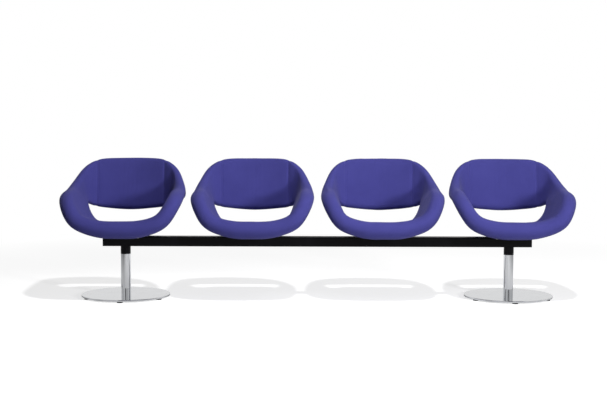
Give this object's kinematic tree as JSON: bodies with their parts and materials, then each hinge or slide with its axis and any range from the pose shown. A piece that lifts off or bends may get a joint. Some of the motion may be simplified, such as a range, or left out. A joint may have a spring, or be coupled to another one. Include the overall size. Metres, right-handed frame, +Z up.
{
  "type": "beam seating bench",
  "caption": "Row of upholstered tub armchairs with open lumbar gaps on one rectangular steel beam, carried by chrome columns on round bases with levelling glides.",
  "frame": {"origin": "on the floor, under the middle of the beam", "axes": "+X along the beam to the sitters' left, -Y the way the sitters face, +Z up"},
  "size_m": [2.7858, 0.621, 0.7572],
  "materials": {
    "fabric": "woven wool felt",
    "black_steel": "satin powder coat",
    "chrome": "polished",
    "black_plastic": "moulded",
    "plain_steel": "zinc plated"
  },
  "bodies": {
    "bench": {"beam": "black_steel", "beam_cap_left": "black_plastic", "beam_collar_left": "black_steel", "collar_bolt_left": "plain_steel", "column_left": "chrome", "centring_plug_left": "plain_steel", "tie_rod_left": "plain_steel", "base_disc_left": "chrome", "beam_cap_right": "black_plastic", "beam_collar_right": "black_steel", "collar_bolt_right": "plain_steel", "column_right": "chrome", "centring_plug_right": "plain_steel", "tie_rod_right": "plain_steel", "base_disc_right": "chrome", "seat_1": "fabric", "arm_left_1": "fabric", "arm_right_1": "fabric", "back_1": "fabric", "chair_frame_1": "plain_steel", "seat_bracket_1": "black_steel", "seat_screws_1": "plain_steel", "beam_bolts_1": "plain_steel", "seat_2": "fabric", "arm_left_2": "fabric", "arm_right_2": "fabric", "back_2": "fabric", "chair_frame_2": "plain_steel", "seat_bracket_2": "black_steel", "seat_screws_2": "plain_steel", "beam_bolts_2": "plain_steel", "seat_3": "fabric", "arm_left_3": "fabric", "arm_right_3": "fabric", "back_3": "fabric", "chair_frame_3": "plain_steel", "seat_bracket_3": "black_steel", "seat_screws_3": "plain_steel", "beam_bolts_3": "plain_steel", "seat_4": "fabric", "arm_left_4": "fabric", "arm_right_4": "fabric", "back_4": "fabric", "chair_frame_4": "plain_steel", "seat_bracket_4": "black_steel", "seat_screws_4": "plain_steel", "beam_bolts_4": "plain_steel"},
    "glide_left_1": {"glide_left_1": "black_plastic"},
    "glide_left_2": {"glide_left_2": "black_plastic"},
    "glide_left_3": {"glide_left_3": "black_plastic"},
    "glide_left_4": {"glide_left_4": "black_plastic"},
    "glide_left_5": {"glide_left_5": "black_plastic"},
    "glide_left_6": {"glide_left_6": "black_plastic"},
    "glide_right_1": {"glide_right_1": "black_plastic"},
    "glide_right_2": {"glide_right_2": "black_plastic"},
    "glide_right_3": {"glide_right_3": "black_plastic"},
    "glide_right_4": {"glide_right_4": "black_plastic"},
    "glide_right_5": {"glide_right_5": "black_plastic"},
    "glide_right_6": {"glide_right_6": "black_plastic"}
  },
  "joints": [
    {"name": "level_left_1", "type": "slide", "parent": "bench", "child": "glide_left_1", "axis": [0, 0, 1], "range_m": [-0.004, 0]},
    {"name": "level_left_2", "type": "slide", "parent": "bench", "child": "glide_left_2", "axis": [0, 0, 1], "range_m": [-0.004, 0]},
    {"name": "level_left_3", "type": "slide", "parent": "bench", "child": "glide_left_3", "axis": [0, 0, 1], "range_m": [-0.004, 0]},
    {"name": "level_left_4", "type": "slide", "parent": "bench", "child": "glide_left_4", "axis": [0, 0, 1], "range_m": [-0.004, 0]},
    {"name": "level_left_5", "type": "slide", "parent": "bench", "child": "glide_left_5", "axis": [0, 0, 1], "range_m": [-0.004, 0]},
    {"name": "level_left_6", "type": "slide", "parent": "bench", "child": "glide_left_6", "axis": [0, 0, 1], "range_m": [-0.004, 0]},
    {"name": "level_right_1", "type": "slide", "parent": "bench", "child": "glide_right_1", "axis": [0, 0, 1], "range_m": [-0.004, 0]},
    {"name": "level_right_2", "type": "slide", "parent": "bench", "child": "glide_right_2", "axis": [0, 0, 1], "range_m": [-0.004, 0]},
    {"name": "level_right_3", "type": "slide", "parent": "bench", "child": "glide_right_3", "axis": [0, 0, 1], "range_m": [-0.004, 0]},
    {"name": "level_right_4", "type": "slide", "parent": "bench", "child": "glide_right_4", "axis": [0, 0, 1], "range_m": [-0.004, 0]},
    {"name": "level_right_5", "type": "slide", "parent": "bench", "child": "glide_right_5", "axis": [0, 0, 1], "range_m": [-0.004, 0]},
    {"name": "level_right_6", "type": "slide", "parent": "bench", "child": "glide_right_6", "axis": [0, 0, 1], "range_m": [-0.004, 0]}
  ]
}
